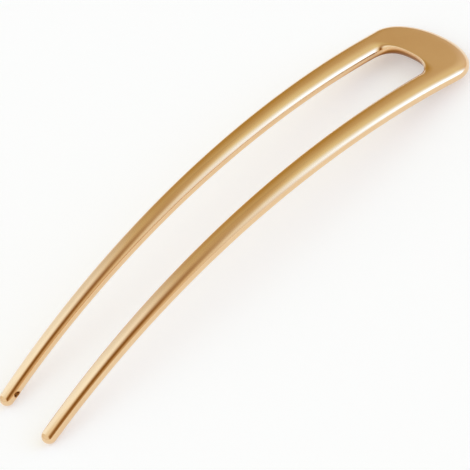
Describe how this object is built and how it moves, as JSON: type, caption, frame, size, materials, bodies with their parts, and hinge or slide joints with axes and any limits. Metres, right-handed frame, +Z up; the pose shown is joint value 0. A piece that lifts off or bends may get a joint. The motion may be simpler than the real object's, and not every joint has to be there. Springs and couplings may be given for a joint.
{
  "type": "u-shaped hair pin",
  "caption": "Arched U-shaped metal hair pin with a flat flared head and long tapering round-tipped prongs that spring apart, for holding a bun.",
  "frame": {"origin": "bottom centre of the pin's box, on the surface that it lies on", "axes": "+X from the head to the tips, +Y towards the left prong, +Z up through the arch"},
  "size_m": [0.1474, 0.0322, 0.0156],
  "materials": {
    "plated_metal": "satin gold plating over a zinc alloy casting"
  },
  "bodies": {
    "bow": {"bow": "plated_metal"},
    "left_prong": {"left_prong": "plated_metal"},
    "right_prong": {"right_prong": "plated_metal"}
  },
  "joints": [
    {"name": "left_prong_flex", "type": "hinge", "parent": "bow", "child": "left_prong", "pos_m": [-0.03878, 0.01166, 0.01007], "axis": [-0.1778, 0, 0.9841], "range_deg": [-2, 2], "stiffness_Nm_per_rad": 83},
    {"name": "right_prong_flex", "type": "hinge", "parent": "bow", "child": "right_prong", "pos_m": [-0.03878, -0.01166, 0.01007], "axis": [-0.1778, 0, 0.9841], "range_deg": [-2, 2], "stiffness_Nm_per_rad": 83}
  ]
}
